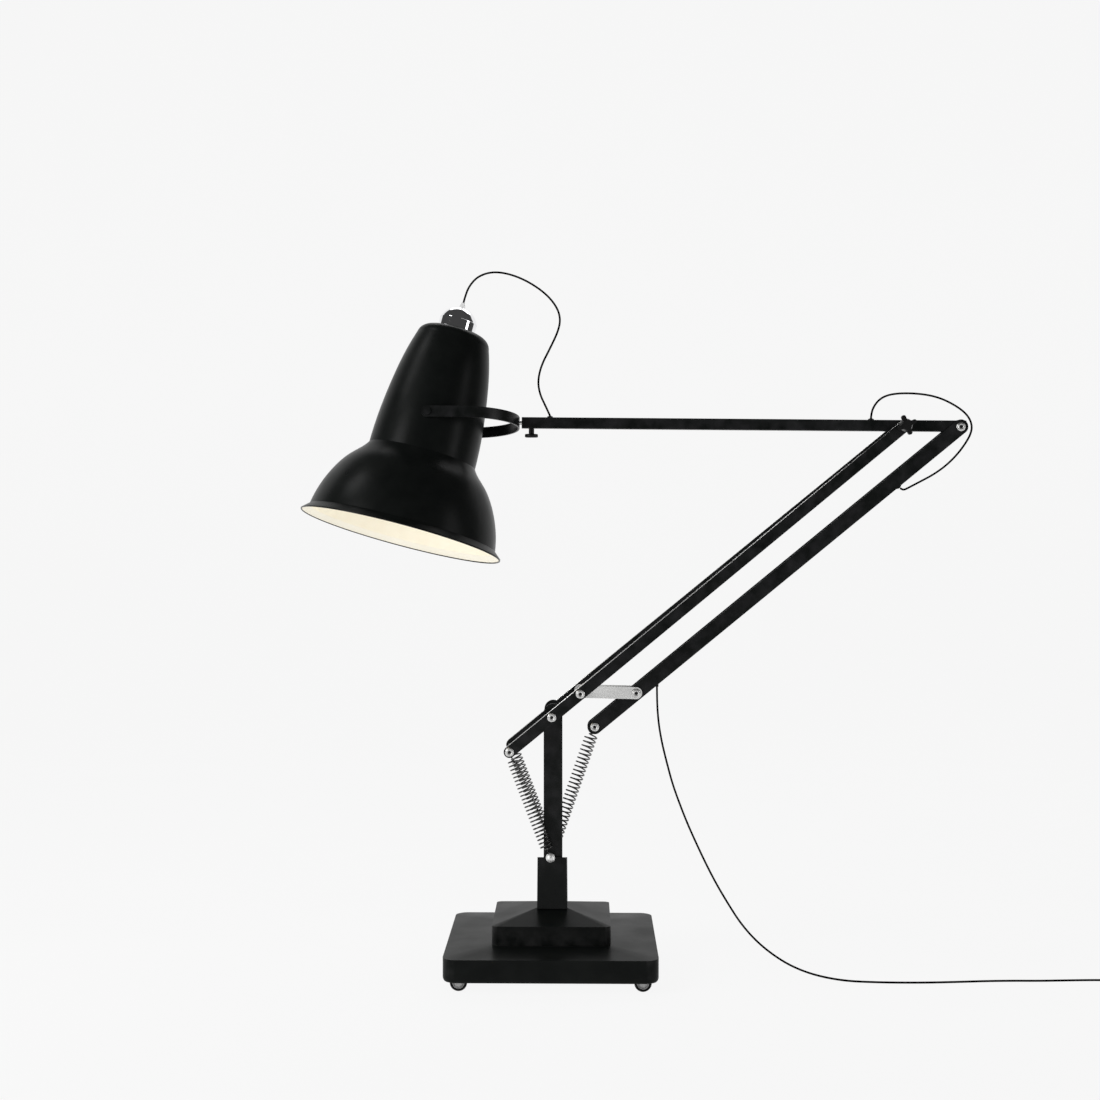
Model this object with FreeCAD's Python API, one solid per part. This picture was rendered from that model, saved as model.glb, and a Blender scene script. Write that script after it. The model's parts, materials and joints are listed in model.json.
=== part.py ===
"""Spring-balanced adjustable arm floor lamp, three times the size of a desk lamp.

Frame: millimetres, origin on the floor under the column's swivel axis, +Z up.
The arms move in the XZ plane: the shade hangs out to -X and the elbow stands to +X.
The near side of the lamp is -Y and the far side is +Y.
"""
import FreeCAD
import Part
import math
import os

V = FreeCAD.Vector
SIDES = (-1, 1)

# ---- arm geometry: pivots lie in the XZ plane as (x, z) ----
LOWER_ANGLE = 39.5          # lower arm above the horizontal
LINK_ANGLE = -1.2           # link and the elbow's rear stretch
ARM_TILT = -0.5             # upper arm tube, dropping towards the elbow
LOWER_LENGTH = 1032.0       # base pivot to elbow
LINK_LENGTH = 127.0         # parallelogram's short side
LINK_OFFSET = 83.0          # base pivot to link pivot
TAIL_LENGTH = 123.0         # base pivot to the front springs' studs
FOOT_LENGTH = 122.0         # link to the rear spring's pin
BASE_PIVOT = (0.0, 583.0)
ANCHOR = (-3.0, 266.0)      # pin that holds the springs' lower ends
ARM_END = (-69.0, 1247.0)   # centre of the upper arm's open end


def direction(angle):
    """Unit vector of an angle in the XZ plane, as (x, z)."""
    return math.cos(math.radians(angle)), math.sin(math.radians(angle))


def walk(start, angle, distance):
    """The point at a distance from start, along an angle in the XZ plane."""
    dx, dz = direction(angle)
    return start[0] + dx * distance, start[1] + dz * distance


ELBOW = walk(BASE_PIVOT, LOWER_ANGLE, LOWER_LENGTH)
LINK_PIVOT = walk(BASE_PIVOT, LOWER_ANGLE, LINK_OFFSET)
TAIL = walk(BASE_PIVOT, LOWER_ANGLE, -TAIL_LENGTH)
ARM_TAIL = walk(ELBOW, LINK_ANGLE, LINK_LENGTH)
REAR_PIVOT = walk(LINK_PIVOT, LINK_ANGLE, LINK_LENGTH)
FOOT = walk(REAR_PIVOT, LOWER_ANGLE, -FOOT_LENGTH)
REAR_LENGTH = LOWER_LENGTH - LINK_OFFSET

# ---- pins and screws ----
PIN_R = 5.0
BOLT_R = 4.0
RUNNING = 0.05              # radial clearance of a turning pin
OPEN_PIVOT = 0.35           # radial clearance of the pivot that the joint tree leaves open
GAP = 0.4                   # side clearance between moving faces
HEAD_R = 10.3
HEAD_H = 3.5

# ---- lower arm bars ----
BAR_HALF_H = 13.0
BAR_T = 5.0
BAR_OUT = 70.0              # outer face at the lower end
BAR_OUT_ELBOW = 32.5        # outer face at the elbow
BAR_BEND = 115.0            # where the bars start to close in, from the base pivot
STUD_INNER = 46.5

# ---- rear bar and link ----
REAR_HALF_H = 16.5
REAR_OUT = 16.0
REAR_WALL = 2.0
REAR_WEB_END = 24.0         # the web stops this far from the end pins
LINK_HALF_H = 13.5
LINK_IN = 17.4
LINK_T = 3.0
MAINS_GLAND_S = 47.7        # glands' places along the rear bar, from the link
LOOP_GLAND_S = 757.0

# ---- upper arm ----
TUBE_HALF = 12.7
TUBE_WALL = 2.0
TUBE_CORNER = 2.0
TUBE_TAIL = 13.0
PLUG_LENGTH = 40.0
SPIGOT_R = 4.75
SPIGOT_IN = 36.0
THUMB_X = 22.0              # thumb screw, from the open end
HEAD_GLAND_X = 64.0         # cord glands, from the open end
ELBOW_GLAND_X = 792.0

# ---- head ----
TWIST = -8.3                # the head is turned about the arm's axis
FORK_HALF = 128.0
FORK_T = 4.0
FORK_HALF_H = 12.5
FORK_NECK = -5.0            # fork's outside, from the open end
FORK_PIVOT = -206.5         # shade pins, from the open end
SHADE_TILT = 14.3
RIM_DROP = 268.0            # shade pins to rim, along the shade's axis
SHADE_T = 1.6
CROWN = 489.0               # rim to crown
CROWN_HOLE_R = 18.0
CAP_R = 43.5
CAP_H = 54.0
SLEEVE_R = 6.5
SLEEVE_H = 12.0

# ---- post and shroud ----
POST_LEFT = -18.5
POST_RIGHT = 22.9
POST_HALF_Y = 43.6
POST_WALL = 3.0
POST_TOP_Z = 591.0          # centre of the rounded top
SHROUD_X = 0.8
SHROUD_HALF_X = 33.3
SHROUD_HALF_Y = 48.5
SHROUD_FLARE = 1.0
SHROUD_WALL = 3.0
SHROUD_TOP = 264.5         # near rim; the mouth slopes down to the far side
SHROUD_SLOPE = 11.0
SPIGOT_POST_R = 15.0
NUT_IN = 62.0

# ---- springs ----
WIRE_R = 1.8
FRONT_SPRING_Y = 59.5
FRONT_SPRING_R = 14.8
REAR_SPRING_R = 16.3
HOOK_LENGTH = 24.0

# ---- base ----
LOWER_HALF = 235.0
LOWER_BOTTOM = 22.0
LOWER_TOP = 76.0
LOWER_CORNER = 30.0
LOWER_EDGE = 12.0
LOWER_WALL = 4.0
STEP_Z = 83.0               # where the upper tier stands on the lower one
UPPER_HALF = 132.0
UPPER_TOP = 125.5
UPPER_CORNER = 13.0
UPPER_WALL = 4.0
PLATEAU_Z = 147.0
PLATEAU_HALF = 33.0
PLATE_Z = 44.0
PLATE_T = 8.0
BALLAST_HALF = 165.0
BALLAST_TOP = 71.0
BEARING_R = 22.0
FLANGE_R = 40.0

# ---- castors ----
CASTOR_XY = 196.0
CASTOR_TRAIL = 5.0
WHEEL_R = 19.0
WHEEL_HALF_W = 8.0
AXLE_R = 3.0
CHEEK_T = 2.0
STEM_R = 5.0

# ---- cords ----
CORD_R = 2.3
HEAD_ROUTE = [
    (-204.5, 40.4, 1524.4), (-200.8, 42, 1539), (-192, 40, 1562), (-171, 36, 1585), (-136, 31, 1595),
    (-95, 26, 1588), (-54, 21, 1570), (-14, 17, 1542), (11, 14, 1511), (19, 12, 1483),
    (13, 10, 1455), (-5, 8, 1417), (-25, 5, 1378), (-33, 3, 1342), (-28, 2, 1312),
    (-16, 1, 1287), (-4.9, 0, 1263.1),
]
LOOP_ROUTE = [
    (723.1, 0, 1256.8), (724, -0.5, 1270), (730, -2, 1285), (741, -4, 1299), (757, -5, 1308),
    (777, -6, 1312), (800, -7, 1313), (826, -8, 1312), (855, -9, 1308), (882, -10, 1300),
    (908, -10, 1287), (930, -10, 1272), (944, -9, 1256), (950, -8, 1238), (947, -7, 1220),
    (934, -6, 1197), (916, -5, 1173), (892, -4, 1149), (864, -3, 1129), (838, -2, 1115),
    (819, -1, 1105), (806, -0.5, 1098), (796, 0, 1093.5), (789.8, 0, 1098.4),
]
MAINS_ROUTE = [
    (238.8, 0, 645.8), (239, -2, 616), (240.5, -5, 585), (244, -8, 552), (251, -13, 514),
    (262, -18, 470), (273, -23, 429), (286, -28, 392), (305, -34, 343), (327, -40, 294),
    (349, -46, 248), (372, -53, 204), (398, -60, 161), (424, -67, 121), (457, -76, 84), (496, -84, 53),
    (538, -92, 29), (588, -100, 12), (650, -111, 3), (712, -119, 2.4), (775, -122, 2.4),
    (840, -120, 2.4), (905, -113, 2.4), (965, -105, 2.4), (1025, -101, 2.4), (1085, -101, 2.4),
    (1145, -96, 2.4), (1205, -92, 2.4), (1240, -92.5, 2.4), (1263, -94, 2.4),
]
COIL_CENTRE = (1281.0, -67.0)
COIL_R = 25.5               # middle of the turns
COIL_HALF = 5.0             # half the bundle's width
COIL_TOP = 19.2
TAIL_ROUTE = [
    (1304, -51, 16.8), (1300, -43, 15), (1295, -34, 11), (1291.5, -24, 7.5), (1291, -14, 6.5),
]
PLUG_BODY = 40.0


# ---- small helpers ----
def cyl_y(radius, centre, y0, y1):
    """Cylinder along Y through a pivot point."""
    return Part.makeCylinder(radius, y1 - y0, V(centre[0], y0, centre[1]), V(0, 1, 0))


def cyl_z(radius, x, y, z0, z1):
    return Part.makeCylinder(radius, z1 - z0, V(x, y, z0), V(0, 0, 1))


def ring_y(outer, inner, centre, y0, y1):
    return cyl_y(outer, centre, y0, y1).cut(cyl_y(inner, centre, y0 - 1, y1 + 1))


def span(side, near, far):
    """A stretch of Y on one side, lowest end first."""
    return tuple(sorted((side * near, side * far)))


def box(x0, x1, y0, y1, z0, z1):
    return Part.makeBox(x1 - x0, y1 - y0, z1 - z0, V(x0, y0, z0))


def along(shape, origin, angle):
    """Moves a shape from a local frame, with +X along a member, to its place."""
    placed = shape.copy()
    placed.rotate(V(0, 0, 0), V(0, 1, 0), -angle)
    placed.translate(V(origin[0], 0, origin[1]))
    return placed


def stadium(x0, x1, half_height, y0, y1):
    """Flat member with round ends centred on x0 and x1, in its local frame."""
    low, high = -half_height, half_height
    edges = [
        Part.LineSegment(V(x0, y0, high), V(x1, y0, high)).toShape(),
        Part.Arc(V(x1, y0, high), V(x1 + half_height, y0, 0), V(x1, y0, low)).toShape(),
        Part.LineSegment(V(x1, y0, low), V(x0, y0, low)).toShape(),
        Part.Arc(V(x0, y0, low), V(x0 - half_height, y0, 0), V(x0, y0, high)).toShape(),
    ]
    return Part.Face(Part.Wire(edges)).extrude(V(0, y1 - y0, 0))


def prism(points, vector):
    closed = [V(*p) for p in points] + [V(*points[0])]
    return Part.Face(Part.makePolygon(closed)).extrude(V(*vector))


def rounded_square(half_x, half_y, z, radius):
    """Flat wire of a rounded rectangle about the Z axis."""
    block = Part.makeBox(2 * half_x, 2 * half_y, 1, V(-half_x, -half_y, z))
    upright = [e for e in block.Edges if abs(e.Vertexes[0].Z - e.Vertexes[1].Z) > 0.5]
    shaped = block.makeFillet(radius, upright)
    lowest = [f for f in shaped.Faces if abs(f.CenterOfMass.z - z) < 1e-6]
    return lowest[0].OuterWire


def rounded_block(half, z0, z1, radius):
    face = Part.Face(rounded_square(half, half, z0, radius))
    return face.extrude(V(0, 0, z1 - z0))


def frustum(half0, z0, half1, z1, radius0, radius1):
    wires = [rounded_square(half0, half0, z0, radius0), rounded_square(half1, half1, z1, radius1)]
    return Part.makeLoft(wires, True, True)


def revolve(points):
    """Solid of revolution about Z from straight runs between (radius, z) points."""
    outline = Part.makePolygon([V(r, 0, z) for r, z in points] + [V(points[0][0], 0, points[0][1])])
    return Part.Face(outline).revolve(V(0, 0, 0), V(0, 0, 1), 360)


def screw_heads(pivot, face, side):
    """Low domed head on the outside of a face."""
    y0, y1 = span(side, face, face + HEAD_H)
    head = cyl_y(HEAD_R, pivot, y0, y1)
    outside = y1 if side > 0 else y0
    rim = [e for e in head.Edges if len(e.Vertexes) == 1 and abs(e.CenterOfMass.y - outside) < 1e-6]
    return head.makeFillet(HEAD_H * 0.6, rim)


def tube_along(points, radius):
    """Round cord of straight runs joined by tangent arcs, each as large as its runs allow."""
    pts = [V(*p) for p in points]
    edges = []
    start = pts[0]
    radii = []
    for before, corner, after in zip(pts, pts[1:], pts[2:]):
        a = (before - corner).normalize()
        b = (after - corner).normalize()
        reach = 0.45 * min((before - corner).Length, (after - corner).Length)
        turn = math.pi - a.getAngle(b)
        radii.append(reach / math.tan(turn / 2))
        enter = corner + a * reach
        leave = corner + b * reach
        bisector = (a + b).normalize()
        to_centre = math.hypot(radii[-1], reach)
        middle = corner + bisector * (to_centre - radii[-1])
        edges.append(Part.LineSegment(start, enter).toShape())
        edges.append(Part.Arc(enter, middle, leave).toShape())
        start = leave
    edges.append(Part.LineSegment(start, pts[-1]).toShape())
    path = Part.Wire(edges)
    first = (pts[1] - pts[0]).normalize()
    circle = Part.Wire([Part.makeCircle(radius, pts[0], first)])
    cord = path.makePipeShell([circle], True, False)
    expected = math.pi * radius ** 2 * path.Length
    print("cord %.0f mm long, least radius %.0f mm, volume off by %.2f%%" % (
        path.Length, min(radii), 100 * abs(cord.Volume / expected - 1)))
    return cord


# ---- base ----
def base_lower_cover():
    body = rounded_block(LOWER_HALF, LOWER_BOTTOM, LOWER_TOP, LOWER_CORNER)
    rim = [e for e in body.Edges if abs(e.CenterOfMass.z - LOWER_BOTTOM) < 1e-6]
    body = body.makeFillet(LOWER_EDGE, rim)
    hip = frustum(LOWER_HALF, LOWER_TOP, UPPER_HALF + 2, STEP_Z, LOWER_CORNER, UPPER_CORNER)
    inner = LOWER_HALF - LOWER_WALL
    hollow = rounded_block(inner, 0, LOWER_TOP - 3, LOWER_CORNER - 5)
    neck = cyl_z(FLANGE_R + 2, 0, 0, LOWER_TOP - 5, STEP_Z + 1)
    return body.fuse(hip).removeSplitter().cut(hollow).cut(neck)


def base_upper_cover():
    wall = rounded_block(UPPER_HALF, STEP_Z, UPPER_TOP, UPPER_CORNER)
    hip = frustum(UPPER_HALF, UPPER_TOP, PLATEAU_HALF + 2, PLATEAU_Z, UPPER_CORNER, 2)
    outside = wall.fuse(hip).removeSplitter()
    inner = UPPER_HALF - UPPER_WALL
    hollow = rounded_block(inner, STEP_Z - 1, UPPER_TOP - UPPER_WALL, UPPER_CORNER - 4)
    attic = frustum(inner, UPPER_TOP - UPPER_WALL, PLATEAU_HALF, PLATEAU_Z - UPPER_WALL,
                    UPPER_CORNER - 4, 2)
    neck = cyl_z(BEARING_R + 1, 0, 0, UPPER_TOP, PLATEAU_Z + 1)
    return outside.cut(hollow).cut(attic).cut(neck)


def castor_places():
    """Name and swivel axis of each castor."""
    for front, y in (("front", -CASTOR_XY), ("back", CASTOR_XY)):
        for hand, x in (("left", -CASTOR_XY), ("right", CASTOR_XY)):
            yield front + "_" + hand, x, y


def base_plate():
    plate = rounded_block(LOWER_HALF - LOWER_WALL, PLATE_Z, PLATE_Z + PLATE_T, LOWER_CORNER - 5)
    plate = plate.cut(cyl_z(BEARING_R, 0, 0, PLATE_Z - 1, PLATE_Z + PLATE_T + 1))
    for _, x, y in castor_places():
        plate = plate.cut(cyl_z(STEM_R + 3, x, y, PLATE_Z - 1, PLATE_Z + PLATE_T + 1))
    return plate


def base_ballast():
    block = rounded_block(BALLAST_HALF, PLATE_Z + PLATE_T, BALLAST_TOP, 12)
    return block.cut(cyl_z(FLANGE_R + 1, 0, 0, PLATE_Z, BALLAST_TOP + 1))


def castor_sockets():
    """Bushes in the base plate, one above each castor."""
    sockets = []
    for _, x, y in castor_places():
        bush = cyl_z(STEM_R + 3, x, y, PLATE_Z, PLATE_Z + 24)
        sockets.append(bush.cut(cyl_z(STEM_R + RUNNING, x, y, PLATE_Z - 1, PLATE_Z + 21)))
    return Part.makeCompound(sockets)


def column_bearing():
    top = PLATEAU_Z + 0.2
    bottom = PLATE_Z + PLATE_T
    tube = cyl_z(BEARING_R, 0, 0, PLATE_Z, top).fuse(cyl_z(FLANGE_R, 0, 0, bottom, bottom + 8))
    return tube.cut(cyl_z(SPIGOT_POST_R + RUNNING, 0, 0, PLATE_Z + 6, top + 1))


def castor_fork(x, y):
    """Swivel plate, stem and two cheeks that hold the wheel outside the stem."""
    out = math.copysign(1, x)
    wheel = (x + out * CASTOR_TRAIL, WHEEL_R)
    crown_z = 2 * WHEEL_R + 1
    stem = cyl_z(STEM_R, x, y, crown_z, PLATE_Z + 20)
    outer = WHEEL_HALF_W + GAP + CHEEK_T
    near, far = sorted((x - out * 10, x + out * 14))
    crown = box(near, far, y - outer, y + outer, crown_z, crown_z + CHEEK_T)
    fork = stem.fuse(crown)
    for side in SIDES:
        y0, y1 = span(side, WHEEL_HALF_W + GAP, outer)
        cheek = prism([(wheel[0] - 7, y + y0, WHEEL_R), (wheel[0] + 7, y + y0, WHEEL_R),
                       (far, y + y0, crown_z + 1), (near, y + y0, crown_z + 1)], (0, y1 - y0, 0))
        fork = fork.fuse(cheek).fuse(cyl_y(7, wheel, y + y0, y + y1))
    axle = cyl_y(AXLE_R, wheel, y - outer, y + outer)
    return fork.fuse(axle).removeSplitter()


def castor_wheel(x, y):
    wheel = (x + math.copysign(CASTOR_TRAIL, x), WHEEL_R)
    disc = cyl_y(WHEEL_R, wheel, y - WHEEL_HALF_W, y + WHEEL_HALF_W)
    rims = [e for e in disc.Edges if len(e.Vertexes) == 1]
    disc = disc.makeFillet(3, rims)
    return disc.cut(cyl_y(AXLE_R + RUNNING, wheel, y - WHEEL_HALF_W - 1, y + WHEEL_HALF_W + 1))


# ---- column ----
def post_channel():
    """Channel with its open side to +X and round-topped flanges."""
    mid = (POST_LEFT + POST_RIGHT) / 2
    radius = (POST_RIGHT - POST_LEFT) / 2
    bottom = PLATEAU_Z + 6.5
    post = box(POST_LEFT, POST_RIGHT, -POST_HALF_Y, POST_HALF_Y, bottom, POST_TOP_Z)
    post = post.fuse(cyl_y(radius, (mid, POST_TOP_Z), -POST_HALF_Y, POST_HALF_Y))
    inside = POST_HALF_Y - POST_WALL
    post = post.cut(box(POST_LEFT + POST_WALL, POST_RIGHT + 1, -inside, inside, bottom - 1, 700))
    post = post.cut(box(POST_LEFT - 1, POST_RIGHT, -inside, inside, POST_TOP_Z - 20, 700))
    post = post.cut(cyl_y(PIN_R + RUNNING, BASE_PIVOT, -60, 60))
    return post.cut(cyl_y(PIN_R, ANCHOR, -60, 60)).removeSplitter()


def shroud_shell(inset, z0, z1):
    def outline(flare, z):
        wire = rounded_square(SHROUD_HALF_X + flare - inset, SHROUD_HALF_Y + flare - inset, z, 2)
        wire.translate(V(SHROUD_X, 0, 0))
        return wire
    return Part.makeLoft([outline(SHROUD_FLARE, z0), outline(0, z1)], True, True)


def column_shroud():
    bottom = PLATEAU_Z + 0.6
    outside = shroud_shell(0, bottom, SHROUD_TOP)
    shell = outside.cut(shroud_shell(SHROUD_WALL, bottom - 1, SHROUD_TOP + 1))
    depth = 2 * SHROUD_HALF_Y + 10
    above = box(-60, 60, 0, depth, 0, 60)
    above.rotate(V(0, 0, 0), V(1, 0, 0), -SHROUD_SLOPE)
    above.translate(V(0, -SHROUD_HALF_Y, SHROUD_TOP))
    shell = shell.cut(above)
    return shell.cut(cyl_y(PIN_R + 0.3, ANCHOR, -60, 60))


def column_spigot():
    """Turning spindle and the foot plate that carries the post and the shroud."""
    bottom = PLATEAU_Z + 0.6
    reach = SHROUD_FLARE - SHROUD_WALL - 0.1
    outline = rounded_square(SHROUD_HALF_X + reach, SHROUD_HALF_Y + reach, bottom, 3)
    outline.translate(V(SHROUD_X, 0, 0))
    foot = Part.Face(outline).extrude(V(0, 0, PLATEAU_Z + 6.5 - bottom))
    return foot.fuse(cyl_z(SPIGOT_POST_R, 0, 0, PLATE_Z + 10, bottom + 1)).removeSplitter()


def anchor_pin():
    """Cross pin with a domed nut on each end."""
    pieces = [cyl_y(PIN_R, ANCHOR, -NUT_IN, NUT_IN)]
    for side in SIDES:
        y0, y1 = span(side, NUT_IN, NUT_IN + 3)
        ball = Part.makeSphere(HEAD_R, V(ANCHOR[0], side * (NUT_IN + 3), ANCHOR[1]))
        keep = span(side, NUT_IN, NUT_IN + 20)
        dome = ball.common(box(-40, 40, keep[0], keep[1], 200, 340))
        pieces.append(cyl_y(HEAD_R, ANCHOR, y0, y1).fuse(dome).removeSplitter())
    return Part.makeCompound(pieces)


def spring_hook(length, radius):
    """Ring about a pin at the local origin, its leg and the coil's closing turn, along +X."""
    loop = PIN_R + 0.5 + WIRE_R
    ring = Part.makeTorus(loop, WIRE_R, V(0, 0, 0), V(0, 1, 0))
    leg = Part.makeCylinder(WIRE_R, length - loop + 1, V(loop - 0.5, 0, 0), V(1, 0, 0))
    turn = Part.makeCylinder(radius, 2 * WIRE_R, V(length, 0, 0), V(1, 0, 0))
    return ring.fuse(leg).fuse(turn)


def coil_tube(radius, x0, x1):
    """A coil's wound length as a tube of the coil's size, along +X."""
    outer = Part.makeCylinder(radius, x1 - x0, V(x0, 0, 0), V(1, 0, 0))
    return outer.cut(Part.makeCylinder(radius - 2 * WIRE_R, x1 - x0, V(x0, 0, 0), V(1, 0, 0)))


def far_hook(length, radius):
    """The hook of a spring's far end, whose pin is at a length along +X."""
    hook = spring_hook(HOOK_LENGTH, radius)
    hook.rotate(V(0, 0, 0), V(0, 1, 0), 180)
    hook.translate(V(length, 0, 0))
    return hook


def on_spring_line(shape, end, y):
    """Moves a shape from the anchor's frame, with +X towards the other pin, to its place."""
    angle = math.degrees(math.atan2(end[1] - ANCHOR[1], end[0] - ANCHOR[0]))
    placed = along(shape, ANCHOR, angle)
    placed.translate(V(0, y, 0))
    return placed


def pin_distance(end):
    return math.hypot(end[0] - ANCHOR[0], end[1] - ANCHOR[1])


def front_spring(side):
    """Coil spring from the anchor pin to the lower arm's tail."""
    length = pin_distance(TAIL)
    body = coil_tube(FRONT_SPRING_R, HOOK_LENGTH, length - HOOK_LENGTH)
    body = body.fuse(spring_hook(HOOK_LENGTH, FRONT_SPRING_R)).fuse(far_hook(length, FRONT_SPRING_R))
    return on_spring_line(body.removeSplitter(), TAIL, side * FRONT_SPRING_Y)


def rear_spring_foot():
    """Lower third of the rear spring, hooked on the anchor pin."""
    coil = coil_tube(REAR_SPRING_R, HOOK_LENGTH, pin_distance(FOOT) / 3 - GAP)
    body = coil.fuse(spring_hook(HOOK_LENGTH, REAR_SPRING_R))
    return on_spring_line(body.removeSplitter(), FOOT, 0)


def rear_spring_middle():
    third = pin_distance(FOOT) / 3
    return on_spring_line(coil_tube(REAR_SPRING_R, third, 2 * third), FOOT, 0)


def rear_spring_top():
    """Upper third of the rear spring, hooked on the rear bar's end pin."""
    length = pin_distance(FOOT)
    coil = coil_tube(REAR_SPRING_R, length * 2 / 3 + GAP, length - HOOK_LENGTH)
    return on_spring_line(coil.fuse(far_hook(length, REAR_SPRING_R)).removeSplitter(), FOOT, 0)


# ---- lower arm ----
def lower_bar(side):
    """Flat bar, parallel to the arm's plane at its lower end and closing in to the elbow."""
    reach = BAR_HALF_H + 2
    slope = (BAR_OUT - BAR_OUT_ELBOW) / (LOWER_LENGTH - BAR_BEND)
    far_y = BAR_OUT_ELBOW - slope * reach
    outer = [(-TAIL_LENGTH - reach, BAR_OUT), (BAR_BEND, BAR_OUT), (LOWER_LENGTH + reach, far_y)]
    inner = [(x, y - BAR_T) for x, y in reversed(outer)]
    plan = [(x, side * y, -BAR_HALF_H - 1) for x, y in outer + inner]
    bent = prism(plan, (0, 0, 2 * BAR_HALF_H + 2))
    y0, y1 = span(side, 0, BAR_OUT + 5)
    bar = bent.common(stadium(-TAIL_LENGTH, LOWER_LENGTH, BAR_HALF_H, y0, y1))
    for distance, radius in ((-TAIL_LENGTH, PIN_R), (0, PIN_R), (LINK_OFFSET, PIN_R),
                             (LOWER_LENGTH, BOLT_R)):
        bar = bar.cut(cyl_y(radius, (distance, 0), y0, y1))
    return along(bar, BASE_PIVOT, LOWER_ANGLE)


def lower_arm_spacers():
    """Tubes on the pins that keep the bars, the post and the link apart."""
    inside = BAR_OUT - BAR_T
    post_face = POST_HALF_Y + GAP
    link_face = LINK_IN + LINK_T + GAP
    tubes = [ring_y(9, PIN_R, LINK_PIVOT, -LINK_IN + GAP, LINK_IN - GAP)]
    for side in SIDES:
        tubes.append(ring_y(9, PIN_R, BASE_PIVOT, *span(side, post_face, inside)))
        tubes.append(ring_y(9, PIN_R, LINK_PIVOT, *span(side, link_face, inside)))
        elbow_face = BAR_OUT_ELBOW - BAR_T - 0.6
        tubes.append(ring_y(10, BOLT_R, ELBOW, *span(side, TUBE_HALF + GAP, elbow_face)))
    return Part.makeCompound(tubes)


def lower_arm_screws():
    heads = [screw_heads(p, BAR_OUT, side) for p in (TAIL, BASE_PIVOT, LINK_PIVOT) for side in SIDES]
    return Part.makeCompound(heads)


def tail_studs():
    return Part.makeCompound([cyl_y(PIN_R, TAIL, *span(s, STUD_INNER, BAR_OUT)) for s in SIDES])


def elbow_bolt():
    """Bolt through the elbow, its far nut and the plate washer behind the star knob."""
    face = BAR_OUT_ELBOW + 0.6
    bolt = cyl_y(BOLT_R, ELBOW, -face - 12, face + 6)
    nut = ring_y(9, BOLT_R, ELBOW, face, face + 6)
    plate = ring_y(15, BOLT_R, ELBOW, -face - 2, -face)
    return Part.makeCompound([bolt, nut, plate])


def star_knob():
    """Four-lobed knob on the end of the elbow bolt."""
    face = -BAR_OUT_ELBOW - 0.6 - 2 - GAP
    depth = 14
    hub = cyl_y(11, ELBOW, face - depth, face)
    knob = hub
    for lobe in (113, 25, -67, 205):
        arm = stadium(0, 18.5, 4.8, face - depth + 1, face - 1)
        knob = knob.fuse(along(arm, ELBOW, lobe))
    return knob.removeSplitter().cut(cyl_y(BOLT_R + RUNNING, ELBOW, face - depth + 4, face + 1))


# ---- upper arm ----
def square_bar(half, x0, x1, corner):
    block = box(x0, x1, -half, half, -half, half)
    long_edges = [e for e in block.Edges if abs(e.Length - (x1 - x0)) < 1e-6]
    return block.makeFillet(corner, long_edges)


def upper_arm_tube():
    run = math.hypot(ARM_TAIL[0] - ARM_END[0], ARM_TAIL[1] - ARM_END[1]) + TUBE_TAIL
    tube = square_bar(TUBE_HALF, 0, run, TUBE_CORNER)
    tube = tube.cut(square_bar(TUBE_HALF - TUBE_WALL, -1, run + 1, 0.5))
    tube = tube.cut(cyl_z(BOLT_R + RUNNING, THUMB_X, 0, -TUBE_HALF - 1, 0))
    for x in (HEAD_GLAND_X, ELBOW_GLAND_X):
        tube = tube.cut(cyl_z(3.2, x, 0, 0, TUBE_HALF + 1))
    placed = along(tube, ARM_END, ARM_TILT)
    placed = placed.cut(cyl_y(BOLT_R + RUNNING, ELBOW, -20, 20))
    return placed.cut(cyl_y(BOLT_R + RUNNING, ARM_TAIL, -20, 20))


def arm_end_plug():
    plug = square_bar(TUBE_HALF - TUBE_WALL, 0, PLUG_LENGTH, 0.5)
    bore = Part.makeCylinder(SPIGOT_R + RUNNING, PLUG_LENGTH, V(-1, 0, 0), V(1, 0, 0))
    plug = plug.cut(bore).cut(cyl_z(BOLT_R + RUNNING, THUMB_X, 0, -TUBE_HALF, 0))
    return along(plug, ARM_END, ARM_TILT)


def gland(x, foot, top):
    """Cord gland through a wall, pointing along +Z from the wall's outer face."""
    collar = cyl_z(6.5, x, 0, top, top + 2.5)
    nose = cyl_z(3.6, x, 0, top + 2.5, top + 4)
    return collar.fuse(nose).fuse(cyl_z(3.2, x, 0, foot, top)).removeSplitter()


def arm_glands():
    glands = [gland(x, CORD_R, TUBE_HALF) for x in (HEAD_GLAND_X, ELBOW_GLAND_X)]
    return along(Part.makeCompound(glands), ARM_END, ARM_TILT)


def arm_flex():
    """Cord inside the upper arm, from one gland to the other."""
    run = ELBOW_GLAND_X - HEAD_GLAND_X
    cord = Part.makeCylinder(CORD_R, run + 8, V(HEAD_GLAND_X - 4, 0, 0), V(1, 0, 0))
    return along(cord, ARM_END, ARM_TILT)


def thumb_screw():
    tip = -SPIGOT_R - 0.6
    under = -TUBE_HALF - GAP
    screw = cyl_z(BOLT_R, THUMB_X, 0, under - 1, tip)
    stem = cyl_z(6.2, THUMB_X, 0, under - 12, under)
    disc = cyl_z(15, THUMB_X, 0, under - 20, under - 12)
    rims = [e for e in disc.Edges if len(e.Vertexes) == 1]
    knob = screw.fuse(stem).fuse(disc.makeFillet(2.5, rims)).removeSplitter()
    return along(knob, ARM_END, ARM_TILT)


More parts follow.
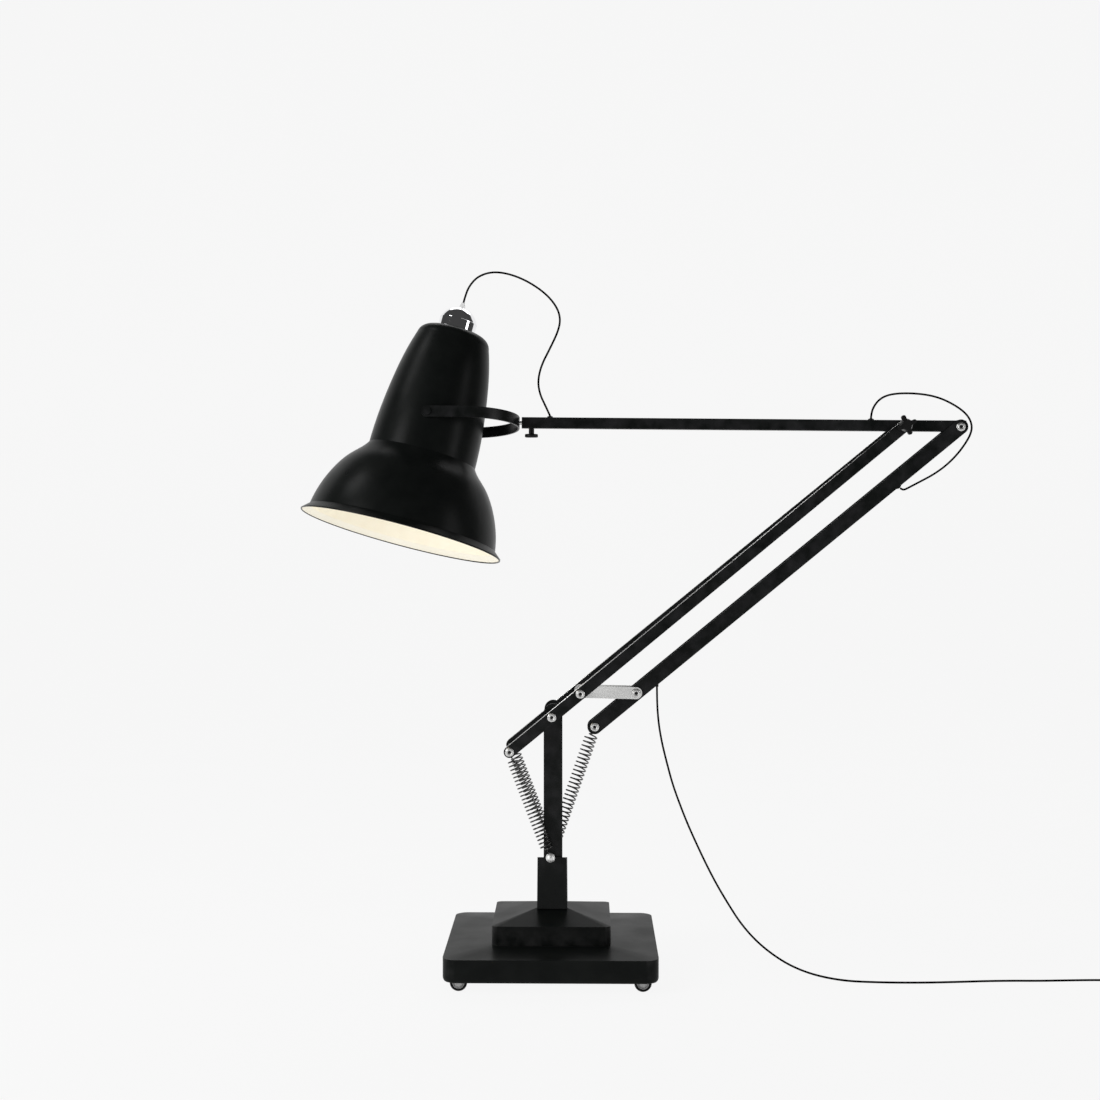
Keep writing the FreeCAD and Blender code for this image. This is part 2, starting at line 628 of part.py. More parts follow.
# ---- rear bar and link ----
def rear_bar_channel():
    """Channel with its open side up, straddling the link at one end and the arm at the other."""
    bar = stadium(-FOOT_LENGTH, REAR_LENGTH, REAR_HALF_H, -REAR_OUT, REAR_OUT)
    inside = REAR_OUT - REAR_WALL
    low = -REAR_HALF_H - 1
    web = -REAR_HALF_H + REAR_WALL
    left, right = -FOOT_LENGTH - 40, REAR_LENGTH + 40
    bar = bar.cut(box(left, right, -inside, inside, web, REAR_HALF_H + 1))
    bar = bar.cut(box(left, -FOOT_LENGTH + REAR_WEB_END, -inside, inside, low, web))
    bar = bar.cut(box(REAR_LENGTH - REAR_WEB_END, right, -inside, inside, low, web))
    bar = bar.cut(cyl_y(PIN_R, (-FOOT_LENGTH, 0), -20, 20))
    bar = bar.cut(cyl_y(BOLT_R + OPEN_PIVOT, (0, 0), -20, 20))
    bar = bar.cut(cyl_y(BOLT_R, (REAR_LENGTH, 0), -20, 20))
    bar = bar.cut(cyl_z(3.2, LOOP_GLAND_S, 0, low, web + 1))
    placed = along(bar, REAR_PIVOT, LOWER_ANGLE)
    return placed.cut(mains_gland())


def mains_gland():
    """Gland under the rear bar, pointing straight down."""
    x, z = walk(REAR_PIVOT, LOWER_ANGLE, MAINS_GLAND_S)
    foot = z - REAR_HALF_H / direction(LOWER_ANGLE)[0]
    return cyl_z(3.6, x + 11, 0, foot + 4, foot + 16)


def loop_gland():
    turned = gland(-LOOP_GLAND_S, REAR_HALF_H - 4.5, REAR_HALF_H)
    turned.rotate(V(0, 0, 0), V(0, 1, 0), 180)
    return along(turned, REAR_PIVOT, LOWER_ANGLE)


def rear_bar_flex():
    """Cord lying in the rear bar, from one gland to the other."""
    height = -REAR_HALF_H + REAR_WALL + CORD_R + 2.6
    run = LOOP_GLAND_S - MAINS_GLAND_S
    cord = Part.makeCylinder(CORD_R, run - 8, V(MAINS_GLAND_S + 4, 0, height), V(1, 0, 0))
    return along(cord, REAR_PIVOT, LOWER_ANGLE)


def pin_with_heads(pivot, radius, face, gap=0.0):
    """Cross pin whose heads sit on, or a gap clear of, the outer faces."""
    pin = cyl_y(radius, pivot, -face - gap, face + gap)
    for side in SIDES:
        pin = pin.fuse(screw_heads(pivot, face + gap, side))
    return pin.removeSplitter()


def link_plate(side):
    y0, y1 = span(side, LINK_IN, LINK_IN + LINK_T)
    plate = stadium(0, LINK_LENGTH, LINK_HALF_H, y0, y1)
    plate = plate.cut(cyl_y(PIN_R + RUNNING, (0, 0), y0 - 1, y1 + 1))
    plate = plate.cut(cyl_y(BOLT_R + RUNNING, (LINK_LENGTH, 0), y0 - 1, y1 + 1))
    return along(plate, LINK_PIVOT, LINK_ANGLE)


# ---- head ----
def twist(shape):
    """Turns the head about the upper arm's axis."""
    dx, dz = direction(ARM_TILT)
    turned = shape.copy()
    turned.rotate(V(ARM_END[0], 0, ARM_END[1]), V(dx, 0, dz), TWIST)
    return turned


def on_fork(shape):
    return twist(along(shape, ARM_END, ARM_TILT))


def on_shade(shape):
    """Moves a shape from the shade's frame, with the pins at its origin, to its place."""
    pivot = walk(ARM_END, ARM_TILT, FORK_PIVOT)
    placed = shape.copy()
    placed.rotate(V(0, 0, 0), V(0, 1, 0), SHADE_TILT)
    placed.translate(V(pivot[0], 0, pivot[1]))
    return twist(placed)


def fork_block(half, height):
    """Half-round ended block that the fork's strap is cut from."""
    centre = FORK_NECK - FORK_HALF
    block = box(FORK_PIVOT - 20, centre, -half, half, -height, height)
    return block.fuse(cyl_z(half, centre, 0, -height, height)).removeSplitter()


def fork_strap():
    strap = fork_block(FORK_HALF, FORK_HALF_H).cut(fork_block(FORK_HALF - FORK_T, FORK_HALF_H + 1))
    keep = stadium(FORK_PIVOT, 40, FORK_HALF_H, -FORK_HALF - 1, FORK_HALF + 1)
    strap = strap.common(keep)
    strap = strap.cut(cyl_y(BOLT_R, (FORK_PIVOT, 0), -FORK_HALF - 1, FORK_HALF + 1))
    hole = Part.makeCylinder(SPIGOT_R, 30, V(FORK_NECK - 20, 0, 0), V(1, 0, 0))
    return on_fork(strap.cut(hole))


def fork_spigot():
    """Round spigot that turns in the arm's end plug, riveted to the fork."""
    start = FORK_NECK - FORK_T - 3
    rod = Part.makeCylinder(SPIGOT_R, SPIGOT_IN - start, V(start, 0, 0), V(1, 0, 0))
    head = Part.makeCylinder(8, 3, V(start, 0, 0), V(1, 0, 0))
    flat_side = box(start - 1, start + 3, -10, 10, -10, 10)
    head = head.common(flat_side).cut(fork_ring())
    return on_fork(rod.fuse(head).removeSplitter())


def fork_ring():
    """The strap's bend, to fit the spigot's head to its inside."""
    outer = cyl_z(FORK_HALF, FORK_NECK - FORK_HALF, 0, -20, 20)
    return outer.cut(cyl_z(FORK_HALF - FORK_T, FORK_NECK - FORK_HALF, 0, -21, 21))


def fork_screws():
    """Shoulder screws that the shade tilts on."""
    screws = []
    for side in SIDES:
        shank = cyl_y(BOLT_R, (FORK_PIVOT, 0), *span(side, 114, FORK_HALF))
        head = cyl_y(9, (FORK_PIVOT, 0), *span(side, FORK_HALF, FORK_HALF + 3))
        screws.append(shank.fuse(head).removeSplitter())
    return on_fork(Part.makeCompound(screws))


def smooth(points):
    curve = Part.BSplineCurve()
    curve.interpolate([V(r, 0, z) for r, z in points])
    return curve.toShape()


def shade_solid(inset):
    """Bell, waist, cone and crown, revolved, with every radius less by an inset."""
    def at(radius, height):
        return radius - inset, height - RIM_DROP
    bell = [at(216, 16), at(206.5, 59), at(187, 106), at(157, 150), at(137, 170), at(124, 187)]
    cone = [at(124, 187), at(121, 258), at(112, 337), at(101, 401), at(85, 461)]
    shoulder = [at(85, 461), at(78, 476), at(64, 484 - inset)]
    crown = [at(64, 484 - inset), (CROWN_HOLE_R, CROWN - RIM_DROP - inset)]
    low = 0 if inset == 0 else -40
    edges = [smooth(bell), smooth(cone), smooth(shoulder), Part.makeLine(
        V(crown[0][0], 0, crown[0][1]), V(crown[1][0], 0, crown[1][1]))]
    base_z = 16 - RIM_DROP + low
    closing = [V(CROWN_HOLE_R, 0, crown[1][1]), V(CROWN_HOLE_R, 0, base_z), V(216 - inset, 0, base_z)]
    if low:
        closing.append(V(216 - inset, 0, 16 - RIM_DROP))
    edges += [Part.makeLine(a, b) for a, b in zip(closing, closing[1:])]
    return Part.Face(Part.Wire(edges)).revolve(V(0, 0, 0), V(0, 0, 1), 360)


def shade_shell():
    """Spun shade with a flared lip and a hole in its crown."""
    lip_r, lip_z = 232.0, -RIM_DROP
    lip = revolve([(216, lip_z + 16), (lip_r, lip_z + SHADE_T), (lip_r, lip_z),
                   (lip_r - 2, lip_z), (216 - SHADE_T, lip_z + 13), (216 - SHADE_T, lip_z + 16)])
    core = cyl_z(CROWN_HOLE_R, 0, 0, -RIM_DROP - 50, CROWN)
    wall = shade_solid(0).cut(shade_solid(SHADE_T)).cut(core)
    pins = cyl_y(BOLT_R + RUNNING, (0, 0), -140, 140)
    return on_shade(wall.fuse(lip).removeSplitter().cut(pins))


def shade_bosses():
    """Bearing collars inside the shade, one for each pin."""
    wall = 120.5
    rings = [ring_y(9, BOLT_R + RUNNING, (0, 0), *span(side, wall - 6, wall)) for side in SIDES]
    keep = shade_solid(SHADE_T)
    return on_shade(Part.makeCompound([r.common(keep) for r in rings]))


def chrome_cap():
    """Domed cap on the crown, hollow, with a seam between its skirt and dome."""
    foot = CROWN - RIM_DROP
    skirt = 20.0
    outer = [(CAP_R, foot - 1.5), (CAP_R, foot + skirt), (CAP_R - 1, foot + skirt),
             (CAP_R - 1, foot + skirt + 1)]
    cap = revolve([(0, foot - 1.5)] + outer + [(0, foot + skirt + 1)])
    rise = CAP_H - skirt - 1
    dome = Part.makeSphere((CAP_R ** 2 + rise ** 2) / (2 * rise))
    dome.translate(V(0, 0, foot + CAP_H - (CAP_R ** 2 + rise ** 2) / (2 * rise)))
    upper = dome.common(cyl_z(CAP_R, 0, 0, foot + skirt + 1, foot + CAP_H + 1))
    hollow = cyl_z(CAP_R - 3, 0, 0, foot - 2, foot + skirt - 2)
    under = shade_solid(0)
    return on_shade(cap.fuse(upper).cut(hollow).cut(under).removeSplitter())


def cap_sleeve():
    """Strain relief where the cord leaves the cap."""
    top = CROWN - RIM_DROP + CAP_H
    sleeve = revolve([(0, top - 0.5), (SLEEVE_R, top - 0.5), (SLEEVE_R, top + 3),
                      (CORD_R + 1.5, top + SLEEVE_H), (0, top + SLEEVE_H)])
    return on_shade(sleeve).cut(chrome_cap())


def lamp_holder():
    """Holder hung from the crown, with its collar in the crown's hole."""
    crown = CROWN - RIM_DROP
    body = revolve([(0, crown - 95), (21, crown - 95), (24, crown - 60), (24, crown - 12),
                    (CROWN_HOLE_R, crown - 9), (CROWN_HOLE_R, crown + 6), (0, crown + 6)])
    mouth = cyl_z(14, 0, 0, crown - 96, crown - 60)
    return on_shade(body.cut(mouth))


def bulb():
    """Round lamp with its screw cap up in the holder."""
    crown = CROWN - RIM_DROP
    centre = crown - 165
    globe = Part.makeSphere(47.5, V(0, 0, centre))
    neck = revolve([(0, centre), (30, centre + 30), (13.5, crown - 98), (13.5, crown - 62), (0, crown - 62)])
    return on_shade(globe.fuse(neck).removeSplitter())


# ---- mains cord ----
def mains_coil():
    """Outer shape of the neat coil that the spare cord is wound into."""
    ring = cyl_z(COIL_R + COIL_HALF, COIL_CENTRE[0], COIL_CENTRE[1], 0.1, COIL_TOP)
    return ring.cut(cyl_z(COIL_R - COIL_HALF, COIL_CENTRE[0], COIL_CENTRE[1], 0, COIL_TOP + 1))


def mains_plug():
    """Moulded two-pin plug lying beside the coil."""
    x, y, z = TAIL_ROUTE[-1]
    half_w, half_h = 13.0, 6.4
    body = box(x - half_w, x + half_w, y + 6, y + PLUG_BODY, z - half_h, z + half_h)
    upright = [e for e in body.Edges if abs(e.Vertexes[0].Z - e.Vertexes[1].Z) > 1]
    body = body.makeFillet(5, upright)
    neck = Part.makeCone(4.0, 6.0, 7, V(x, y, z), V(0, 1, 0))
    pieces = [body.fuse(neck).removeSplitter()]
    for side in SIDES:
        pieces.append(Part.makeCylinder(2.4, 19, V(x + side * 9.5, y + PLUG_BODY, z), V(0, 1, 0)))
    return Part.makeCompound(pieces)


def build():
    parts = {
        "base_lower_cover": base_lower_cover(),
        "base_upper_cover": base_upper_cover(),
        "base_plate": base_plate(),
        "base_ballast": base_ballast(),
        "castor_sockets": castor_sockets(),
        "column_bearing": column_bearing(),
        "post_channel": post_channel(),
        "column_shroud": column_shroud(),
        "column_spigot": column_spigot(),
        "anchor_pin": anchor_pin(),
        "front_spring_near": front_spring(-1),
        "front_spring_far": front_spring(1),
        "rear_spring_foot": rear_spring_foot(),
        "rear_spring_middle": rear_spring_middle(),
        "rear_spring_top": rear_spring_top(),
        "lower_bar_near": lower_bar(-1),
        "lower_bar_far": lower_bar(1),
        "base_pivot_pin": cyl_y(PIN_R, BASE_PIVOT, -BAR_OUT, BAR_OUT),
        "link_pivot_pin": cyl_y(PIN_R, LINK_PIVOT, -BAR_OUT, BAR_OUT),
        "lower_arm_spacers": lower_arm_spacers(),
        "lower_arm_screws": lower_arm_screws(),
        "tail_studs": tail_studs(),
        "elbow_bolt": elbow_bolt(),
        "star_knob": star_knob(),
        "upper_arm_tube": upper_arm_tube(),
        "arm_end_plug": arm_end_plug(),
        "arm_glands": arm_glands(),
        "arm_flex": arm_flex(),
        "thumb_screw": thumb_screw(),
        "rear_bar_channel": rear_bar_channel(),
        "arm_tail_pin": pin_with_heads(ARM_TAIL, BOLT_R, REAR_OUT),
        "rear_spring_pin": pin_with_heads(FOOT, PIN_R, REAR_OUT),
        "mains_gland": mains_gland(),
        "loop_gland": loop_gland(),
        "rear_bar_flex": rear_bar_flex(),
        "link_plates": Part.makeCompound([link_plate(side) for side in SIDES]),
        "rear_pivot_pin": pin_with_heads(REAR_PIVOT, BOLT_R, LINK_IN + LINK_T, 0.3),
        "fork_strap": fork_strap(),
        "fork_spigot": fork_spigot(),
        "fork_screws": fork_screws(),
        "shade_shell": shade_shell(),
        "shade_bosses": shade_bosses(),
        "chrome_cap": chrome_cap(),
        "cap_sleeve": cap_sleeve(),
        "lamp_holder": lamp_holder(),
        "bulb": bulb(),
        "head_flex": tube_along(HEAD_ROUTE, CORD_R),
        "elbow_flex": tube_along(LOOP_ROUTE, CORD_R),
        "mains_flex": tube_along(MAINS_ROUTE, CORD_R),
        "mains_coil": mains_coil(),
        "plug_lead": tube_along(TAIL_ROUTE, CORD_R),
        "mains_plug": mains_plug(),
    }
    for name, x, y in castor_places():
        parts["castor_fork_" + name] = castor_fork(x, y)
        parts["castor_wheel_" + name] = castor_wheel(x, y)
    return parts


os.makedirs("parts", exist_ok=True)
for node, shape in build().items():
    if not shape.isValid():
        print("not valid:", node)
    shape.exportStep("parts/" + node + ".step")
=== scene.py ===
"""Looks of the adjustable arm floor lamp: camera, cords, springs, materials, light.

Metres, in the part's frame: origin on the floor under the column, +Z up, shade out to -X.
"""
import json
import math
import bmesh
import bpy
from mathutils import Matrix, Vector


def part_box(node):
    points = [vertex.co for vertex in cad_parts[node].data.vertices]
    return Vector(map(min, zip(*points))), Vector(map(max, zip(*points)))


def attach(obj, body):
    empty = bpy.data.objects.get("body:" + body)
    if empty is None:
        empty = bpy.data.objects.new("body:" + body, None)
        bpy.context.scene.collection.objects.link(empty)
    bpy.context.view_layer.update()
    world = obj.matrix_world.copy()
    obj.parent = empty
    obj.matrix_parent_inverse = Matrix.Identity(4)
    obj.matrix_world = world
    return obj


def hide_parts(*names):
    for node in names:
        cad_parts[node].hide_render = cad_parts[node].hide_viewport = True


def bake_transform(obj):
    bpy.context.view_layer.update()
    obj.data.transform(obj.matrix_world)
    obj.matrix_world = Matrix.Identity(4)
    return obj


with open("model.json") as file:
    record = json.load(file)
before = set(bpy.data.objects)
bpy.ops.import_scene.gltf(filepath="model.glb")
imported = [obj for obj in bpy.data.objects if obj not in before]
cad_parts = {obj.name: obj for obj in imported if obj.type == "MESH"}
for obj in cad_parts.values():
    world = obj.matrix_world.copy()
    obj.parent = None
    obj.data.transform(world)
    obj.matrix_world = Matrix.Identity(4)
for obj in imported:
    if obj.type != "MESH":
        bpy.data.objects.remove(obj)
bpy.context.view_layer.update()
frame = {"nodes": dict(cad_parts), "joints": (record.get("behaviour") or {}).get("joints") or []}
NODES = frame["nodes"]
JOINTS = {joint["name"]: joint for joint in frame["joints"]}
SIDES = (-1, 1)

# ---- camera ----
CAMERA_AT = (0.068, -4.1, 1.04)
YAW = 1.02
PITCH = -1.15
LENS_PX = 1800.0
IMAGE_PX = 1100.0
SENSOR = 36.0

# ---- cords ----
CORD_D = 0.0046
HEAD_CREST = 5
HEAD_STILL_Z = 1.31
LOOP_BEND = ((.90, 0, 1.29), (.93, 0, 1.18))
MAINS_CUTS = (2, 6, 17)
MAINS_STILL_X = 1.05
HEAD_ROUTE = [
    (-.2045, .0404, 1.5244), (-.2008, .042, 1.539), (-.192, .040, 1.562), (-.171, .036, 1.585),
    (-.136, .031, 1.595), (-.095, .026, 1.588), (-.054, .021, 1.570), (-.014, .017, 1.542),
    (.011, .014, 1.511), (.019, .012, 1.483), (.013, .010, 1.455), (-.005, .008, 1.417),
    (-.025, .005, 1.378), (-.033, .003, 1.342), (-.028, .002, 1.312), (-.016, .001, 1.287),
    (-.0049, 0, 1.2631),
]
LOOP_ROUTE = [
    (.7231, 0, 1.2568), (.724, -.0005, 1.270), (.730, -.002, 1.285), (.741, -.004, 1.299),
    (.757, -.005, 1.308), (.777, -.006, 1.312), (.800, -.007, 1.313), (.826, -.008, 1.312),
    (.855, -.009, 1.308), (.882, -.010, 1.300), (.908, -.010, 1.287), (.930, -.010, 1.272),
    (.944, -.009, 1.256), (.950, -.008, 1.238), (.947, -.007, 1.220), (.934, -.006, 1.197),
    (.916, -.005, 1.173), (.892, -.004, 1.149), (.864, -.003, 1.129), (.838, -.002, 1.115),
    (.819, -.001, 1.105), (.806, -.0005, 1.098), (.796, 0, 1.0935), (.7898, 0, 1.0984),
]
MAINS_ROUTE = [
    (.2388, 0, .6458), (.239, -.002, .616), (.2405, -.005, .585), (.244, -.008, .552),
    (.251, -.013, .514), (.262, -.018, .47), (.273, -.023, .429), (.286, -.028, .392),
    (.305, -.034, .343), (.327, -.04, .294), (.349, -.046, .248), (.372, -.053, .204),
    (.398, -.06, .161), (.424, -.067, .121), (.457, -.076, .084), (.496, -.084, .053),
    (.538, -.092, .029), (.588, -.1, .012), (.65, -.111, .003), (.712, -.119, .0024),
    (.775, -.122, .0024), (.84, -.12, .0024), (.905, -.113, .0024), (.965, -.105, .0024),
    (1.025, -.101, .0024), (1.085, -.101, .0024), (1.145, -.096, .0024), (1.205, -.092, .0024),
    (1.24, -.0925, .0024), (1.263, -.094, .0024),
]
COIL_CENTRE = (1.281, -.067)
COIL_OUTER = .0281
COIL_INNER = .0232
COIL_LAYERS = 4
COIL_PITCH = .0048
COIL_START = -110.0
COIL_STEP = 24.0
TAIL_ROUTE = [
    (1.300, -.043, .015), (1.295, -.034, .011), (1.2915, -.024, .0075), (1.291, -.014, .0065),
]

# ---- lower arm ----
TAIL_LENGTH = .123
BAR_BEND = .115
BAR_OUT = .0700
BAR_OUT_ELBOW = .0325
BAR_HALF_H = .0130
EDGE_R = .0009
HEAD_R = .0103

# ---- castor wheels, as shares of the wheel's radius and half width ----
TYRE_PROFILE = [
    (.70, -.80), (.80, -1), (.93, -.92), (1, -.55), (1, .55), (.93, .92), (.80, 1), (.70, .80),
    (.70, -.80),
]
HUB_PROFILE = [
    (.30, -.95), (.34, -.60), (.58, -.52), (.64, -.82), (.70, -.80), (.70, .80), (.64, .82), (.58, .52),
    (.34, .60), (.30, .95),
]
HUB_WIDTH = .95
HUB_BORE = .0031

# ---- shade ----
RIM_DROP = .268
LIP_R = .2308
BEAD_R = .0017
BEAD_TURNS = 160
BEAD_SIDES = 10

# ---- springs ----
WIRE_D = .0034
FRONT_Y = .0595
FRONT_R = .0130
FRONT_PITCH = .0089
REAR_R = .0137
REAR_PITCH = .0099
HOOK = .024


# ---- stage ----
FLOOR_FRONT = -9
FLOOR_HALF_X = 9
CURVE_START_Y = 3.2
CURVE_R = 1.6
CURVE_STEPS = 12
BACKDROP_TOP = 7
FLOOR_GLOW = .902


# ================= small helpers =================
def new_object(name, mesh):
    obj = bpy.data.objects.new(name, mesh)
    bpy.context.scene.collection.objects.link(obj)
    return obj


def smooth(mesh):
    mesh.polygons.foreach_set("use_smooth", [True] * len(mesh.polygons))


def nurbs_points(route):
    """Points along the smooth curve whose control points are the route's."""
    curve = bpy.data.curves.new("route", "CURVE")
    curve.dimensions = "3D"
    spline = curve.splines.new("NURBS")
    spline.points.add(len(route) - 1)
    for point, place in zip(spline.points, route):
        point.co = (*place, 1)
    spline.order_u = 3
    spline.use_endpoint_u = True
    spline.resolution_u = 6
    holder = bpy.data.objects.new("route", curve)
    mesh = bpy.data.meshes.new_from_object(holder)
    points = [vertex.co.copy() for vertex in mesh.vertices]
    bpy.data.objects.remove(holder)
    bpy.data.curves.remove(curve)
    bpy.data.meshes.remove(mesh)
    return points


def sweep(name, points, radius, sides=12):
    """Closed round tube along points, with rings carried along without twist."""
    tangents = []
    for i in range(len(points)):
        step = points[min(i + 1, len(points) - 1)] - points[max(i - 1, 0)]
        tangents.append(step.normalized())
    side = tangents[0].orthogonal().normalized()
    mesh = bmesh.new()
    rings = []
    for point, tangent in zip(points, tangents):
        side = (side - tangent * side.dot(tangent)).normalized()
        other = tangent.cross(side)
        ring = []
        for k in range(sides):
            angle = 2 * math.pi * k / sides
            out = side * math.cos(angle) + other * math.sin(angle)
            ring.append(mesh.verts.new(point + out * radius))
        rings.append(ring)
    for ring, after in zip(rings, rings[1:]):
        for k in range(sides):
            mesh.faces.new((ring[k], ring[(k + 1) % sides], after[(k + 1) % sides], after[k]))
    mesh.faces.new(list(reversed(rings[0])))
    mesh.faces.new(rings[-1])
    data = bpy.data.meshes.new(name)
    mesh.to_mesh(data)
    mesh.free()
    smooth(data)
    return new_object(name, data)


def lathe(name, profile, sides=64):
    """Surface of revolution about Z from (radius, height) points; ends on the axis are closed."""
    mesh = bmesh.new()
    rings = []
    for radius, height in profile:
        if radius < 1e-6:
            rings.append([mesh.verts.new((0, 0, height))])
            continue
        ring = []
        for k in range(sides):
            angle = 2 * math.pi * k / sides
            ring.append(mesh.verts.new((radius * math.cos(angle), radius * math.sin(angle), height)))
        rings.append(ring)
    for ring, after in zip(rings, rings[1:]):
        for k in range(sides):
            corners = [ring[k % len(ring)], ring[(k + 1) % len(ring)],
                       after[(k + 1) % len(after)], after[k % len(after)]]
            unique = list(dict.fromkeys(corners))
            if len(unique) > 2:
                mesh.faces.new(unique)
    bmesh.ops.recalc_face_normals(mesh, faces=mesh.faces)
    data = bpy.data.meshes.new(name)
    mesh.to_mesh(data)
    mesh.free()
    smooth(data)
    return new_object(name, data)


def nearest(points, place):
    return min(range(len(points)), key=lambda i: (points[i] - Vector(place)).length)


# ================= materials =================
def node_material(name):
    material = bpy.data.materials.new(name)
    material.use_nodes = True
    return material, material.node_tree.nodes, material.node_tree.links


def noise_at(nodes, links, scale, detail=3.0, stretch=(1, 1, 1)):
    """Noise in object space, stretched by a mapping."""
    place = nodes.new("ShaderNodeTexCoord")
    mapping = nodes.new("ShaderNodeMapping")
    mapping.inputs["Scale"].default_value = stretch
    noise = nodes.new("ShaderNodeTexNoise")
    noise.inputs["Scale"].default_value = scale
    noise.inputs["Detail"].default_value = detail
    links.new(place.outputs["Object"], mapping.inputs["Vector"])
    links.new(mapping.outputs["Vector"], noise.inputs["Vector"])
    return noise.outputs["Fac"]


def ramp_between(nodes, links, source, low, high, start=.3, end=.7):
    """Colour ramp from one grey or colour to another."""
    ramp = nodes.new("ShaderNodeValToRGB")
    ramp.color_ramp.elements[0].position = start
    ramp.color_ramp.elements[1].position = end
    ramp.color_ramp.elements[0].color = (*low, 1)
    ramp.color_ramp.elements[1].color = (*high, 1)
    links.new(source, ramp.inputs["Fac"])
    return ramp.outputs["Color"]


def bump(nodes, links, source, strength, distance):
    node = nodes.new("ShaderNodeBump")
    node.inputs["Strength"].default_value = strength
    node.inputs["Distance"].default_value = distance
    links.new(source, node.inputs["Height"])
    return node.outputs["Normal"]


def surface(name, low, high, rough, metallic=0.0, scale=60, bump_scale=None, bump_size=0.0,
            stretch=(1, 1, 1), specular=0.5, wear=None):
    """Principled material with noise in its colour, roughness and relief, and paler edges where worn."""
    material, nodes, links = node_material(name)
    shader = nodes["Principled BSDF"]
    shader.inputs["Metallic"].default_value = metallic
    shader.inputs["Specular IOR Level"].default_value = specular
    noise = noise_at(nodes, links, scale, stretch=stretch)
    colour = ramp_between(nodes, links, noise, low, high)
    if wear:
        colour = worn_edges(nodes, links, colour, wear)
    links.new(colour, shader.inputs["Base Color"])
    patches = noise_at(nodes, links, scale * .35, stretch=stretch)
    links.new(ramp_between(nodes, links, patches, (rough[0],) * 3, (rough[1],) * 3),
              shader.inputs["Roughness"])
    if bump_size:
        relief = noise_at(nodes, links, bump_scale, 2, stretch)
        links.new(bump(nodes, links, relief, .5, bump_size), shader.inputs["Normal"])
    return material


def worn_edges(nodes, links, colour, wear):
    """Paler paint along convex edges, broken up by noise."""
    geometry = nodes.new("ShaderNodeNewGeometry")
    edge = ramp_between(nodes, links, geometry.outputs["Pointiness"], (0, 0, 0), (1, 1, 1), .53, .6)
    patchy = ramp_between(nodes, links, noise_at(nodes, links, 35), (0, 0, 0), (1, 1, 1), .35, .75)
    both = nodes.new("ShaderNodeMath")
    both.operation = "MULTIPLY"
    links.new(edge, both.inputs[0])
    links.new(patchy, both.inputs[1])
    mix = nodes.new("ShaderNodeMix")
    mix.data_type = "RGBA"
    links.new(both.outputs["Value"], mix.inputs["Factor"])
    links.new(colour, mix.inputs["A"])
    mix.inputs["B"].default_value = (*wear, 1)
    return mix.outputs["Result"]


def glass_like(name, colour, rough, weight):
    material, nodes, links = node_material(name)
    shader = nodes["Principled BSDF"]
    shader.inputs["Transmission Weight"].default_value = weight
    shader.inputs["IOR"].default_value = 1.46
    tint = ramp_between(nodes, links, noise_at(nodes, links, 40), colour, tuple(c * .94 for c in colour))
    links.new(tint, shader.inputs["Base Color"])
    haze = noise_at(nodes, links, 25)
    links.new(ramp_between(nodes, links, haze, (rough,) * 3, (rough * 1.5,) * 3),
              shader.inputs["Roughness"])
    return material


def lit_lamp(name, strength):
    """Opal glass, lit, its warm tint varying a little with noise."""
    material, nodes, links = node_material(name)
    shader = nodes["Principled BSDF"]
    shader.inputs["Roughness"].default_value = .35
    warm = ramp_between(nodes, links, noise_at(nodes, links, 12), (1, .86, .62), (1, .90, .70))
    links.new(warm, shader.inputs["Base Color"])
    links.new(warm, shader.inputs["Emission Color"])
    shader.inputs["Emission Strength"].default_value = strength
    return material


def two_faced(name, outside, inside):
    """One paint where the surface looks away from the shade's axis, and another where it looks in."""
    material, nodes, links = node_material(name)
    nodes.clear()
    output = nodes.new("ShaderNodeOutputMaterial")
    mix = nodes.new("ShaderNodeMixShader")
    mask = nodes.new("ShaderNodeAttribute")
    mask.attribute_name = "inside"
    links.new(mask.outputs["Fac"], mix.inputs["Fac"])
    for source, slot in ((outside, 1), (inside, 2)):
        links.new(source(nodes, links), mix.inputs[slot])
    links.new(mix.outputs["Shader"], output.inputs["Surface"])
    return material


